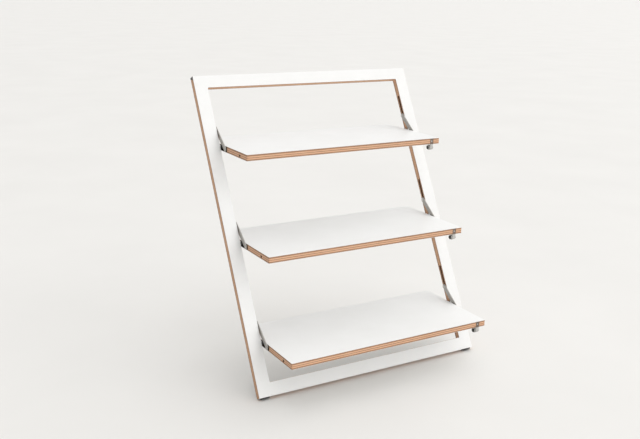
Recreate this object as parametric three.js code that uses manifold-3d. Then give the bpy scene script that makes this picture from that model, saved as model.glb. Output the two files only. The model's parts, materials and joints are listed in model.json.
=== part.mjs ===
// A leaning plant ladder that folds flat: one board frame, three shelves that turn inside its
// opening, and flat steel stay arms whose upper ends slide in slots in the frame's stiles.
// Millimetres, +X to the right, +Y to the wall, +Z up. The origin is on the floor, in the middle.
import * as THREE from "three";
import { mergeVertices } from "three/addons/utils/BufferGeometryUtils.js";
import Module from "manifold-3d";

// ---- Driving dimensions ----
const frameWidth = 800;
const frameHeight = 1006; // along the leaning board
const leanDegrees = 28; // from the vertical
const boardThickness = 19.6; // plywood with a laminate on both faces
const stileWidth = 43;
const topRailHeight = 40;
const bottomRailHeight = 40;
const openingCornerRadius = 3;

const shelfLevels = ["lower", "middle", "upper"];
const shelfGap = 3.5; // between folded shelves, and between them and the rails
const shelfEndGap = 5.2; // between a shelf's end and the stile
const pivotFromBack = 115; // pivot axis to the shelf's back edge
const shelfCornerRadius = 2;

const stayLength = 86; // between the two pins of a stay arm
const stayReach = 40; // main pivot to the stay arm's lower pin
const stayWidth = 15;
const stayThickness = 2.5;
const staySetOff = 1.4; // shelf end to the stay arm's near face

const slotWidth = 8;
const slotDepth = 11;
const shoeLength = 14;
const shoeDepth = 9; // how far a shoe reaches into its slot
const shoeProud = 1; // how far it stands out of the slot

const plateWidth = 18;
const plateThickness = 2.2;
const rivetShankRadius = 2.5;
const rivetHeadRadius = 5;
const rivetHeadThickness = 0.6;
const rivetShoulderRadius = 5.5;
const rivetDepth = 12; // into the shelf's end

const pinRadius = 4;
const pinDepth = 25; // into the shelf's end
const pinReachInStile = 13;
const pinCollarRadius = 7;
const bushRadius = 6;
const bushLength = 14;
const bushFlangeRadius = 8.5;
const bushFlangeThickness = 0.8;

const endHoleRadius = 3.2; // the small blind hole in a shelf's left end
const endHoleDepth = 12;
const endHoleFromPivot = 139;
const endHoleBelowMiddle = 2;

const strapWidth = 12.5;
const strapThickness = 1.5;
const strapFromEnd = 30; // shelf's right end to the strap's middle
const strapBelowTop = 0.8; // the laminate stays whole above the strap
const gripRadius = 6.5;
const gripWall = 1.2;
const gripLength = 19;
const gripDrop = 11; // shelf's underside to the grip's axis
const gripCapThickness = 0.8;

const footWidth = 27;
const footFromFront = 1; // front face of the board to the foot
const footFromBack = 0.8; // foot to the back face of the board
const footThickness = 3.3; // below the board's square end
const footLip = 1.2; // floor to the board's lowest edge
const padSetBack = 1.9; // front face of the board to the wall pad
const padHeight = 14; // height of the notch at its front
const padProud = 1.5; // rubber between the board's top edge and the wall

const runningGap = 0.3; // round anything that turns or slides
const seatGap = 0.25; // between pieces that are fastened face to face
const roundSegments = 20;
const rivetSegments = 12;
const cornerSegments = 4;
const weldDistance = 1e-4; // points closer than this are one point
const cutOvershoot = 1; // cutters run this far past the faces that they open

// ---- Derived dimensions ----
const lean = THREE.MathUtils.degToRad(leanDegrees);
const openingWidth = frameWidth - 2 * stileWidth;
const openingHeight = frameHeight - topRailHeight - bottomRailHeight;
const shelfWidth = openingWidth - 2 * shelfEndGap;
const shelfDepth = openingHeight / shelfLevels.length
  - shelfGap * (shelfLevels.length + 1) / shelfLevels.length;
const pivotFromFront = shelfDepth - pivotFromBack;
const halfThickness = boardThickness / 2;
const pivotHeight = (level) =>
  bottomRailHeight + shelfGap + pivotFromBack + level * (shelfDepth + shelfGap);

// Height of the stay arm's upper pin above the main pivot, along the slot.
const stayPinForward = stayReach * Math.cos(lean);
const stayPinDrop = stayReach * Math.sin(lean);
const shoeHeightOpen = Math.sqrt(stayLength ** 2 - stayPinForward ** 2) - stayPinDrop;
const shoeHeightFolded = stayLength + stayReach;
const slotLow = shoeHeightOpen - shoeLength / 2 - runningGap;
const slotHigh = shoeHeightFolded + shoeLength / 2 + runningGap;

const groundDrop = boardThickness * Math.sin(lean) + footLip; // floor to the board's front edge

// ---- Solids ----
const wasm = await Module();
wasm.setup();

function toSolid(geometry) {
  const bare = geometry.index ? geometry.toNonIndexed() : geometry.clone();
  bare.deleteAttribute("normal");
  bare.deleteAttribute("uv");
  const merged = mergeVertices(bare, weldDistance);
  return new wasm.Manifold(new wasm.Mesh({
    numProp: 3,
    vertProperties: merged.attributes.position.array,
    triVerts: new Uint32Array(merged.index.array),
  }));
}

function toGeometry(manifold) {
  const mesh = manifold.getMesh();
  const geometry = new THREE.BufferGeometry();
  geometry.setAttribute("position", new THREE.BufferAttribute(mesh.vertProperties, 3));
  geometry.setIndex(new THREE.BufferAttribute(mesh.triVerts, 1));
  const flat = geometry.toNonIndexed();
  flat.computeVertexNormals();
  return flat;
}

// The first geometry with the others cut away.
function cut(geometry, cutters) {
  return toGeometry(cutters.reduce((body, tool) => body.subtract(toSolid(tool)), toSolid(geometry)));
}

// ---- Outlines ----
function roundedRectangle(low, high, radius) {
  const shape = new THREE.Shape();
  shape.moveTo(low.x + radius, low.y);
  shape.lineTo(high.x - radius, low.y);
  shape.absarc(high.x - radius, low.y + radius, radius, -Math.PI / 2, 0);
  shape.lineTo(high.x, high.y - radius);
  shape.absarc(high.x - radius, high.y - radius, radius, 0, Math.PI / 2);
  shape.lineTo(low.x + radius, high.y);
  shape.absarc(low.x + radius, high.y - radius, radius, Math.PI / 2, Math.PI);
  shape.lineTo(low.x, low.y + radius);
  shape.absarc(low.x + radius, low.y + radius, radius, Math.PI, 1.5 * Math.PI);
  return shape;
}

// A bar with two round ends, centred on the points (0, 0) and (0, length).
function roundEndedBar(length, radius) {
  const shape = new THREE.Shape();
  shape.absarc(0, length, radius, 0, Math.PI);
  shape.absarc(0, 0, radius, Math.PI, 2 * Math.PI);
  shape.closePath();
  return shape;
}

function circle(x, y, radius) {
  const hole = new THREE.Path();
  hole.absarc(x, y, radius, 0, 2 * Math.PI);
  return hole;
}

// A shape drawn in (y, z) and given a thickness along X, from x = 0 towards +X.
function sideways(shape, thickness) {
  const geometry = new THREE.ExtrudeGeometry(shape, {
    depth: thickness,
    bevelEnabled: false,
    curveSegments: roundSegments / 2,
  });
  geometry.rotateY(Math.PI / 2);
  geometry.rotateX(Math.PI / 2);
  return geometry;
}

// A profile of [radius, x] pairs turned about the X axis.
function turned(profile, segments = roundSegments) {
  const points = profile.map(([radius, x]) => new THREE.Vector2(radius, x));
  const geometry = new THREE.LatheGeometry(points, segments);
  geometry.rotateZ(-Math.PI / 2);
  return geometry;
}

const rod = (radius, from, to) => turned([[0, from], [radius, from], [radius, to], [0, to]]);

// ---- Materials ----
const finish = (color, roughness, metalness) =>
  new THREE.MeshStandardMaterial({ color, roughness, metalness });
const laminate = () => finish(0xf1f1ef, 0.45, 0);
const steel = () => finish(0x9c9b97, 0.35, 0.9);
const blackSteel = () => finish(0x1d1917, 0.5, 0.3);
const blackPlastic = () => finish(0x161514, 0.45, 0);
const rubber = () => finish(0x2b2a29, 0.85, 0);

function named(name, geometry, material) {
  const mesh = new THREE.Mesh(geometry, material);
  mesh.name = name;
  return mesh;
}

const stand = new THREE.Group();

// The frame's own space: x across, y from the front face to the back, z up along the board.
const leaning = new THREE.Group();
leaning.rotation.x = -lean;
leaning.position.z = groundDrop;
stand.add(leaning);

// Both ends of everything are the same, turned round: side -1 is the left, +1 the right.
const sides = [["left", -1], ["right", 1]];

// ---- Frame board ----
const levelRise = Math.tan(lean); // a level line climbs this much per millimetre of thickness

// The pad's section in (y, z), with the board's top end at z = 0.
function padSection(inset) {
  const frontY = padSetBack + inset;
  const levelAt = (y) => -padHeight + (y - padSetBack) * levelRise + inset / Math.cos(lean);
  const wallY = boardThickness + padProud / Math.cos(lean);
  // How far below the top end the level underside meets the upright back.
  const backDrop = -levelAt(wallY) * Math.cos(lean) ** 2;
  const shape = new THREE.Shape();
  shape.moveTo(frontY, levelAt(frontY));
  shape.lineTo(wallY + backDrop * levelRise, -backDrop);
  shape.lineTo(wallY, 0);
  shape.lineTo(frontY, 0);
  return shape;
}

// The notch is the same section, without the inset, run past the back and the top.
function padNotch() {
  const past = boardThickness + cutOvershoot;
  const shape = new THREE.Shape();
  shape.moveTo(padSetBack, -padHeight);
  shape.lineTo(past, -padHeight + (past - padSetBack) * levelRise);
  shape.lineTo(past, cutOvershoot);
  shape.lineTo(padSetBack, cutOvershoot);
  return shape;
}

function frameBoard() {
  const outline = new THREE.Shape();
  outline.moveTo(-frameWidth / 2, 0);
  outline.lineTo(frameWidth / 2, 0);
  outline.lineTo(frameWidth / 2, frameHeight);
  outline.lineTo(-frameWidth / 2, frameHeight);
  outline.closePath();
  outline.holes.push(roundedRectangle(
    new THREE.Vector2(-openingWidth / 2, bottomRailHeight),
    new THREE.Vector2(openingWidth / 2, frameHeight - topRailHeight),
    openingCornerRadius,
  ));
  const board = new THREE.ExtrudeGeometry(outline, {
    depth: boardThickness,
    bevelEnabled: false,
    curveSegments: cornerSegments,
  });
  board.rotateX(Math.PI / 2);
  board.translate(0, boardThickness, 0);

  const cutters = [];
  for (const [, side] of sides) {
    const innerFace = side * openingWidth / 2;
    const inward = (geometry, depth) => {
      const start = side > 0 ? innerFace - cutOvershoot : innerFace - depth;
      return geometry.translate(start, halfThickness, 0);
    };
    shelfLevels.forEach((_, level) => {
      const height = pivotHeight(level);
      const slot = sideways(
        roundEndedBar(slotHigh - slotLow - slotWidth, slotWidth / 2),
        slotDepth + cutOvershoot,
      );
      cutters.push(inward(slot, slotDepth).translate(0, 0, height + slotLow + slotWidth / 2));
      const holeDepth = bushLength + runningGap;
      const hole = rod(bushRadius + seatGap, 0, holeDepth + cutOvershoot);
      cutters.push(inward(hole, holeDepth).translate(0, 0, height));
    });
    const notch = sideways(padNotch(), stileWidth + cutOvershoot);
    const notchStart = side > 0 ? innerFace : -frameWidth / 2 - cutOvershoot;
    cutters.push(notch.translate(notchStart, 0, frameHeight));
  }
  return cut(board, cutters);
}

leaning.add(named("frame_board", frameBoard(), laminate()));

// ---- Feet and wall pads ----
// A foot's section in (y, z): a flat pad, cut level at its back, where it stands on the floor.
function footSection() {
  const floorAt = (y) => (y * Math.sin(lean) - groundDrop) / Math.cos(lean);
  const floorMeetsPad = (groundDrop - footThickness * Math.cos(lean)) / Math.sin(lean);
  const back = boardThickness - footFromBack;
  const shape = new THREE.Shape();
  shape.moveTo(footFromFront, -footThickness);
  shape.lineTo(floorMeetsPad, -footThickness);
  shape.lineTo(back, floorAt(back));
  shape.lineTo(back, -seatGap);
  shape.lineTo(footFromFront, -seatGap);
  return shape;
}

for (const [sideName, side] of sides) {
  const stileMiddle = side * (frameWidth - stileWidth) / 2;
  const foot = sideways(footSection(), footWidth).translate(stileMiddle - footWidth / 2, 0, 0);
  leaning.add(named(`foot_${sideName}`, foot, rubber()));

  const padLength = stileWidth - seatGap;
  const padStart = side > 0 ? frameWidth / 2 - padLength : -frameWidth / 2;
  const pad = sideways(padSection(seatGap), padLength).translate(padStart, 0, frameHeight);
  leaning.add(named(`wall_pad_${sideName}`, pad, rubber()));
}

// ---- What is turned for every pivot. x = 0 is the shelf's end, +x runs to the stile. ----
const stileFace = shelfEndGap;
const flangeNear = stileFace - seatGap - bushFlangeThickness;

function pivotPin() {
  const tip = stileFace + pinReachInStile;
  return turned([
    [0, -pinDepth],
    [pinRadius, -pinDepth],
    [pinRadius, seatGap],
    [pinCollarRadius, seatGap],
    [pinCollarRadius, flangeNear - runningGap],
    [pinRadius, flangeNear - runningGap],
    [pinRadius, tip],
    [0, tip],
  ]);
}

function pivotBush() {
  const bore = pinRadius + runningGap;
  const flangeFar = stileFace - seatGap;
  return turned([
    [bore, flangeNear],
    [bushFlangeRadius, flangeNear],
    [bushFlangeRadius, flangeFar],
    [bushRadius, flangeFar],
    [bushRadius, stileFace + bushLength],
    [bore, stileFace + bushLength],
    [bore, flangeNear],
  ]);
}

function stayFootRivet() {
  const headNear = staySetOff + stayThickness + seatGap;
  return turned([
    [0, -rivetDepth],
    [rivetShankRadius, -rivetDepth],
    [rivetShankRadius, seatGap],
    [rivetShoulderRadius, seatGap],
    [rivetShoulderRadius, staySetOff - seatGap],
    [rivetShankRadius, staySetOff - seatGap],
    [rivetShankRadius, headNear],
    [rivetHeadRadius, headNear],
    [rivetHeadRadius, headNear + rivetHeadThickness],
    [0, headNear + rivetHeadThickness],
  ], rivetSegments);
}

// The upper rivet ends flush with the arm's far face, clear of the shoe behind it.
function stayHeadRivet() {
  const headFar = staySetOff - seatGap;
  return turned([
    [0, headFar - rivetHeadThickness],
    [rivetHeadRadius, headFar - rivetHeadThickness],
    [rivetHeadRadius, headFar],
    [rivetShankRadius, headFar],
    [rivetShankRadius, staySetOff + stayThickness],
    [0, staySetOff + stayThickness],
  ], rivetSegments);
}

function stayArm() {
  const shape = roundEndedBar(stayLength, stayWidth / 2);
  const eye = rivetShankRadius + runningGap;
  shape.holes.push(circle(0, 0, eye), circle(0, stayLength, eye));
  return sideways(shape, stayThickness).translate(staySetOff, 0, 0);
}

function slideShoe() {
  const radius = slotWidth / 2 - runningGap;
  const shape = roundEndedBar(shoeLength - 2 * radius, radius);
  return sideways(shape, shoeProud + shoeDepth)
    .translate(stileFace - shoeProud, 0, radius - shoeLength / 2);
}

// The plate runs forward from the main pivot to the stay arm's lower pin.
const sidePlateOutline = (grow) => roundEndedBar(stayReach, plateWidth / 2 + grow);

function sidePlate() {
  const shape = sidePlateOutline(0);
  shape.holes.push(
    circle(0, 0, pinRadius + runningGap),
    circle(0, stayReach, rivetShankRadius + runningGap),
  );
  return sideways(shape, plateThickness).rotateX(Math.PI / 2).translate(-plateThickness, 0, 0);
}

// ---- Grip under a shelf's front edge: y = 0 is that edge's face, z = 0 the shelf's middle. ----
const strapBore = gripRadius + seatGap;
const gripCentre = new THREE.Vector2(strapBore + strapThickness, -halfThickness - gripDrop);

function gripStrap() {
  const ring = new THREE.Shape();
  ring.absarc(gripCentre.x, gripCentre.y, strapBore + strapThickness, 0, 2 * Math.PI);
  const bore = new THREE.Shape();
  bore.absarc(gripCentre.x, gripCentre.y, strapBore, 0, 2 * Math.PI);
  const tongue = new THREE.Shape();
  const top = halfThickness - strapBelowTop - seatGap;
  tongue.moveTo(0, gripCentre.y);
  tongue.lineTo(strapThickness, gripCentre.y);
  tongue.lineTo(strapThickness, top);
  tongue.lineTo(0, top);
  const body = toSolid(sideways(ring, strapWidth)).add(toSolid(sideways(tongue, strapWidth)));
  const hollow = sideways(bore, strapWidth + 2 * cutOvershoot).translate(-cutOvershoot, 0, 0);
  return toGeometry(body.subtract(toSolid(hollow))).translate(-strapWidth / 2, 0, 0);
}

function gripBarrel() {
  const half = gripLength / 2;
  const inner = gripRadius - gripWall;
  return turned([
    [inner, -half],
    [gripRadius, -half],
    [gripRadius, half],
    [inner, half],
    [inner, -half],
  ]).translate(0, gripCentre.x, gripCentre.y);
}

// A black core through the barrel, with a round cap on its left end.
function gripCore() {
  const half = gripLength / 2;
  const core = gripRadius - gripWall - seatGap;
  const capNear = -half - seatGap;
  return turned([
    [0, capNear - gripCapThickness],
    [gripRadius, capNear - gripCapThickness],
    [gripRadius, capNear],
    [core, capNear],
    [core, half],
    [0, half],
  ]).translate(0, gripCentre.x, gripCentre.y);
}

// ---- Shelf board, level, with its pivot axis at y = 0 and z = 0 ----
function shelfBoard() {
  const half = shelfWidth / 2;
  const outline = roundedRectangle(
    new THREE.Vector2(-half, -pivotFromFront),
    new THREE.Vector2(half, pivotFromBack),
    shelfCornerRadius,
  );
  const board = new THREE.ExtrudeGeometry(outline, {
    depth: boardThickness,
    bevelEnabled: false,
    curveSegments: cornerSegments,
  });
  board.translate(0, 0, -halfThickness);

  const cutters = [];
  for (const [, side] of sides) {
    const outOfEnd = (geometry, depth) => {
      const start = side > 0 ? half - depth : -half - cutOvershoot;
      return geometry.translate(start, 0, 0);
    };
    const recessDepth = plateThickness + seatGap;
    const recess = sideways(sidePlateOutline(seatGap), recessDepth + cutOvershoot);
    cutters.push(outOfEnd(recess.rotateX(Math.PI / 2), recessDepth));
    const pinHoleDepth = pinDepth + seatGap;
    cutters.push(outOfEnd(rod(pinRadius + seatGap, 0, pinHoleDepth + cutOvershoot), pinHoleDepth));
    const rivetHoleDepth = rivetDepth + seatGap;
    const rivetHole = rod(rivetShankRadius + seatGap, 0, rivetHoleDepth + cutOvershoot);
    cutters.push(outOfEnd(rivetHole.translate(0, -stayReach, 0), rivetHoleDepth));
  }
  const endHole = rod(endHoleRadius, 0, endHoleDepth + cutOvershoot);
  cutters.push(endHole.translate(-half - cutOvershoot, -endHoleFromPivot, -endHoleBelowMiddle));

  const notchWidth = strapWidth + 2 * seatGap;
  const notchDepth = strapThickness + seatGap;
  const notchHeight = boardThickness - strapBelowTop + cutOvershoot;
  const notch = new THREE.BoxGeometry(notchWidth, notchDepth + cutOvershoot, notchHeight);
  cutters.push(notch.translate(
    half - strapFromEnd,
    -pivotFromFront + (notchDepth - cutOvershoot) / 2,
    halfThickness - strapBelowTop - notchHeight / 2,
  ));
  return cut(board, cutters);
}

// ---- One shelf with all it carries ----
shelfLevels.forEach((levelName, level) => {
  const shelf = new THREE.Group();
  shelf.position.set(0, halfThickness, pivotHeight(level));
  shelf.rotation.x = lean;
  leaning.add(shelf);
  shelf.add(named(`shelf_${levelName}`, shelfBoard(), laminate()));

  for (const [sideName, side] of sides) {
    const tag = `${levelName}_${sideName}`;
    // On the left the end's space is turned half round about Y, so its z runs downwards.
    const halfTurn = side > 0 ? 0 : Math.PI;
    const shelfEnd = new THREE.Group();
    shelfEnd.position.x = side * shelfWidth / 2;
    shelfEnd.rotation.y = halfTurn;
    shelf.add(shelfEnd);
    shelfEnd.add(named(`side_plate_${tag}`, sidePlate(), blackSteel()));
    shelfEnd.add(named(`pivot_pin_${tag}`, pivotPin(), steel()));

    const stayFoot = new THREE.Group();
    stayFoot.position.y = -stayReach;
    shelfEnd.add(stayFoot);
    stayFoot.add(named(`stay_foot_rivet_${tag}`, stayFootRivet(), steel()));

    // The arm leans back from its lower pin to the slot.
    const armTurn = new THREE.Group();
    const armLean = lean + Math.asin(stayPinForward / stayLength);
    armTurn.rotation.x = halfTurn - side * armLean;
    stayFoot.add(armTurn);
    armTurn.add(named(`stay_arm_${tag}`, stayArm(), steel()));
    const headRivet = named(`stay_head_rivet_${tag}`, stayHeadRivet(), steel());
    headRivet.position.z = stayLength;
    armTurn.add(headRivet);

    // These two belong to the stile, so they stay in the frame's own space.
    const stilePlace = new THREE.Group();
    stilePlace.position.set(side * shelfWidth / 2, halfThickness, pivotHeight(level));
    stilePlace.rotation.y = halfTurn;
    leaning.add(stilePlace);
    stilePlace.add(named(`pivot_bush_${tag}`, pivotBush(), blackPlastic()));
    const shoe = named(`slide_shoe_${tag}`, slideShoe(), blackPlastic());
    shoe.position.z = side * shoeHeightOpen;
    stilePlace.add(shoe);
  }

  const grip = new THREE.Group();
  grip.position.set(shelfWidth / 2 - strapFromEnd, -pivotFromFront, 0);
  shelf.add(grip);
  grip.add(named(`grip_strap_${levelName}`, gripStrap(), steel()));
  grip.add(named(`grip_barrel_${levelName}`, gripBarrel(), steel()));
  grip.add(named(`grip_core_${levelName}`, gripCore(), blackPlastic()));
});

// The origin lies under the middle of the whole stand's box.
const measureEveryPoint = true;
const box = new THREE.Box3().setFromObject(stand, measureEveryPoint);
leaning.position.y = -(box.min.y + box.max.y) / 2;

export default stand;
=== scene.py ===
"""The looks of a leaning plant ladder: laminated plywood boards, steel stays, black fittings."""
import json
import math

import bmesh
import bpy
from mathutils import Matrix, Vector


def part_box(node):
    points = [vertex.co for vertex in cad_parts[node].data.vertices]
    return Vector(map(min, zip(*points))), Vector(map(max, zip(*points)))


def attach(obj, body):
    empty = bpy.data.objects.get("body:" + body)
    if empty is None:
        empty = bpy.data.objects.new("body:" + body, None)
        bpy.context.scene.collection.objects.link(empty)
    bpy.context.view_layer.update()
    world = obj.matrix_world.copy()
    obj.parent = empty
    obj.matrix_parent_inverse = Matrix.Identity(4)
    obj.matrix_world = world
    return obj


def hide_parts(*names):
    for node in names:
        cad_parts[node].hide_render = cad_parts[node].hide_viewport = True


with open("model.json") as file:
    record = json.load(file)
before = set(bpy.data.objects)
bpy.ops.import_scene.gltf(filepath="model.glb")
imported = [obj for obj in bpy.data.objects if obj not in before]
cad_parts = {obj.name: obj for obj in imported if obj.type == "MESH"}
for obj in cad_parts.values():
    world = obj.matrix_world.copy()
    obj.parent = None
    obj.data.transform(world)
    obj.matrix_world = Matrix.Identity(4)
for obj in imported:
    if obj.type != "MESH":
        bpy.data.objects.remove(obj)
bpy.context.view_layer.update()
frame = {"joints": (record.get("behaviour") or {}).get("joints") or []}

# ---- Sizes, in metres ----
MM = 0.001
LEVELS = ("lower", "middle", "upper")
SIDES = {"left": -1, "right": 1}
PIVOTS = {joint["child"]: Vector(joint["pos_m"]) for joint in frame["joints"] if "pos_m" in joint}

LEAN = math.radians(28)
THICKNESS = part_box("shelf_lower")[1].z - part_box("shelf_lower")[0].z
HALF = THICKNESS / 2
LAMINATE = 0.8 * MM
ARRIS = 0.45 * MM  # the eased edge of every board

FRAME_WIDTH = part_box("frame_board")[1].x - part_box("frame_board")[0].x
FRAME_HEIGHT = 1006 * MM
STILE = 43 * MM
TOP_RAIL = 40 * MM
BOTTOM_RAIL = 40 * MM
OPENING_CORNER = 3 * MM
GROUND_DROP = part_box("frame_board")[0].z + THICKNESS * math.sin(LEAN)
FRAME_ORIGIN = Vector((0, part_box("frame_board")[0].y, GROUND_DROP))
LEVEL_DOWN = (0, math.sin(LEAN), -math.cos(LEAN))  # straight down, in the frame's own space
TO_WALL = (0, math.cos(LEAN), math.sin(LEAN))  # level, towards the wall

SHELF_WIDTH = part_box("shelf_lower")[1].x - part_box("shelf_lower")[0].x
SHELF_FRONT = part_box("shelf_lower")[0].y - PIVOTS["shelf_lower"].y
SHELF_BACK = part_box("shelf_lower")[1].y - PIVOTS["shelf_lower"].y
SHELF_CORNER = 2 * MM
END_GAP = (FRAME_WIDTH - 2 * STILE - SHELF_WIDTH) / 2
SHELF_PITCH = (PIVOTS["shelf_middle"] - PIVOTS["shelf_lower"]).length
FIRST_PIVOT = (PIVOTS["shelf_lower"] - FRAME_ORIGIN).dot(
    Vector((0, math.sin(LEAN), math.cos(LEAN)))
)

STAY_LENGTH = 86 * MM
STAY_REACH = 40 * MM
STAY_WIDTH = 15 * MM
STAY_THICKNESS = 2.5 * MM
STAY_SET_OFF = 1.4 * MM
STAY_ARRIS = 0.4 * MM
STAY_DROP = STAY_REACH * math.sin(LEAN)
STAY_FORWARD = STAY_REACH * math.cos(LEAN)
SHOE_OPEN = math.sqrt(STAY_LENGTH**2 - STAY_FORWARD**2) - STAY_DROP
SHOE_FOLDED = STAY_LENGTH + STAY_REACH
STAY_LEAN = LEAN + math.asin(STAY_FORWARD / STAY_LENGTH)

SLOT_WIDTH = 8 * MM
SLOT_DEPTH = 11 * MM
SHOE_LENGTH = 14 * MM
SHOE_DEPTH = 9 * MM
SHOE_PROUD = 1 * MM
SHOE_ARRIS = 0.3 * MM

PLATE_WIDTH = 18 * MM
PLATE_THICKNESS = 2.2 * MM
PLATE_ARRIS = 0.3 * MM
PLATE_SCREWS = (0.32, 0.64)  # shares of the way from the pivot to the lower rivet
PLATE_SCREW_HEAD = 2.6 * MM
SHANK = 2.5 * MM
RIVET_HEAD = 5 * MM
RIVET_HEAD_THICKNESS = 0.6 * MM
RIVET_SHOULDER = 5.5 * MM
RIVET_DEPTH = 12 * MM

PIN = 4 * MM
PIN_DEPTH = 25 * MM
PIN_REACH = 13 * MM
COLLAR = 7 * MM
BUSH = 6 * MM
BUSH_LENGTH = 14 * MM
FLANGE = 8.5 * MM
FLANGE_THICKNESS = 0.8 * MM

END_HOLE = 3.2 * MM
END_HOLE_DEPTH = 12 * MM
END_HOLE_FORWARD = 139 * MM
END_HOLE_DROP = 2 * MM
END_HOLE_SINK = 0.8 * MM

STRAP_WIDTH = 12.5 * MM
STRAP = 1.5 * MM
STRAP_FROM_END = 30 * MM
STRAP_BELOW_TOP = 0.8 * MM
STRAP_ARRIS = 0.28 * MM
GRIP = 6.5 * MM
GRIP_WALL = 1.2 * MM
GRIP_LENGTH = 19 * MM
GRIP_DROP = 11 * MM
CAP_THICKNESS = 0.8 * MM
CURL_TURN = math.radians(336)
STRAP_SCREW_HEAD = 2.3 * MM
STRAP_SCREW_SHANK = 1.2 * MM
STRAP_SCREW_HEIGHT = 0.5 * MM
STRAP_SCREW_PLAY = 0.2 * MM

FOOT_WIDTH = 27 * MM
FOOT_FROM_FRONT = 1 * MM
FOOT_FROM_BACK = 0.8 * MM
FOOT_THICKNESS = 3.3 * MM
FOOT_CORNER = 2.5 * MM
FOOT_ARRIS = 0.4 * MM
PAD_SET_BACK = 1.9 * MM
PAD_HEIGHT = 14 * MM
PAD_PROUD = 1.5 * MM
PAD_ARRIS = 0.6 * MM

RUNNING = 0.3 * MM
SEAT = 0.25 * MM
PAST = 1 * MM  # cutters run this far past the faces that they open
WELD = 0.001 * MM  # points nearer to each other than this become one
GRIP_CENTRE = Vector((0, GRIP + SEAT + STRAP, -HALF - GRIP_DROP))

# ---- How finely it is made ----
ROUND = 40  # segments of a round piece
GRIP_ROUND = 56
FLAT_ROUND = 64  # segments of a flat bar with round ends
CURL_STEPS = 44
STRAIGHT = 0.99  # a direction with this share along an axis runs along it
LARGE_FACE = 100 * MM**2  # in square metres
BOARD_SMOOTH = 25  # degrees
# A low domed head: shares of its radius and of its height.
DOME = ((1.0, 0.0), (0.94, 0.55), (0.72, 0.9), (0.36, 1.0))
# Which of its finishes a face takes, on a board and on a strap.
FACE, EDGE, HOLE = range(3)
CURL, FLAT = range(2)


# ---- Modelling by hand ----
def begin():
    """Nothing is selected, so that an operator acts on the new piece alone."""
    if bpy.context.object and bpy.context.object.mode != "OBJECT":
        bpy.ops.object.mode_set(mode="OBJECT")
    bpy.ops.object.select_all(action="DESELECT")


def only(piece):
    begin()
    piece.select_set(True)
    bpy.context.view_layer.objects.active = piece


def settle(piece):
    """The piece's place goes into its mesh."""
    only(piece)
    bpy.ops.object.transform_apply(location=True, rotation=True, scale=True)


def new_box(name, low, high):
    begin()
    low = Vector(low)
    high = Vector(high)
    bpy.ops.mesh.primitive_cube_add(size=1, location=(low + high) / 2, scale=high - low)
    piece = bpy.context.object
    piece.name = name
    settle(piece)
    return piece


def open_edit(piece, kind):
    only(piece)
    bpy.ops.object.mode_set(mode="EDIT")
    bpy.ops.mesh.select_mode(type=kind)
    return bmesh.from_edit_mesh(piece.data)


def pick_faces(piece, wanted):
    """Opens the piece in edit mode with only the wanted faces selected."""
    mesh = open_edit(piece, "FACE")
    for face in mesh.faces:
        face.select_set(False)
    for face in mesh.faces:
        if wanted(face.calc_center_median(), face.normal):
            face.select_set(True)
    bmesh.update_edit_mesh(piece.data)


def pick_edges(piece, wanted):
    """Opens the piece in edit mode with only the wanted edges selected."""
    mesh = open_edit(piece, "EDGE")
    for edge in mesh.edges:
        edge.select_set(False)
    for edge in mesh.edges:
        start, end = (point.co for point in edge.verts)
        if wanted((start + end) / 2, (end - start).normalized()):
            edge.select_set(True)
    bmesh.update_edit_mesh(piece.data)


def pick_upper_end(piece):
    """Opens the piece in edit mode with only the points above z = 0 selected."""
    mesh = open_edit(piece, "VERT")
    for point in mesh.verts:
        point.select_set(point.co.z > 0)
    mesh.select_flush(True)
    bmesh.update_edit_mesh(piece.data)


def everywhere(place, direction):
    return True


def upright(middle, way):
    return abs(way.z) > STRAIGHT


def close_edit():
    bpy.ops.object.mode_set(mode="OBJECT")


def slice_through(piece, place, normal, keep_both=True):
    """A flat cut. Without keep_both, what lies on the normal's side goes, and the cut is closed."""
    pick_faces(piece, everywhere)
    bpy.ops.mesh.bisect(
        plane_co=place,
        plane_no=normal,
        use_fill=not keep_both,
        clear_outer=not keep_both,
    )
    close_edit()


def tidy_normals(piece):
    pick_faces(piece, everywhere)
    bpy.ops.mesh.remove_doubles(threshold=WELD)
    bpy.ops.mesh.normals_make_consistent(inside=False)
    close_edit()


def turned(name, steps, segments=ROUND, solid=True):
    """A round piece about X. steps are (radius, x) pairs, and a hollow one ends where it began."""
    begin()
    radius, place = steps[0]
    bpy.ops.mesh.primitive_circle_add(
        vertices=segments,
        radius=radius,
        fill_type="NGON" if solid else "NOTHING",
        location=(place, 0, 0),
        rotation=(0, math.pi / 2, 0),
    )
    piece = bpy.context.object
    piece.name = name
    settle(piece)
    bpy.ops.object.mode_set(mode="EDIT")
    bpy.ops.mesh.select_mode(type="VERT")
    bpy.ops.mesh.select_all(action="SELECT")
    for next_radius, next_place in steps[1:]:
        bpy.ops.mesh.extrude_region_move(
            TRANSFORM_OT_translate={"value": (next_place - place, 0, 0)}
        )
        factor = next_radius / radius
        bpy.ops.transform.resize(value=(1, factor, factor), center_override=(next_place, 0, 0))
        radius, place = next_radius, next_place
    close_edit()
    tidy_normals(piece)
    return piece


def round_bar(name, width, length, near, far, segments=ROUND):
    """A bar with round ends, thick along X, centred on the points z = 0 and z = length."""
    piece = rod(name, width / 2, near, far, segments=segments)
    put(piece, turn_x=math.pi / segments)  # no point is left at z = 0
    pick_upper_end(piece)
    bpy.ops.transform.translate(value=(0, 0, length))
    close_edit()
    return piece


def rod(name, radius, near, far, across=(0, 0), segments=ROUND):
    """A plain round bar along X."""
    begin()
    bpy.ops.mesh.primitive_cylinder_add(
        vertices=segments,
        radius=radius,
        depth=far - near,
        location=((near + far) / 2, across[0], across[1]),
        rotation=(0, math.pi / 2, 0),
    )
    piece = bpy.context.object
    piece.name = name
    settle(piece)
    return piece


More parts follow.
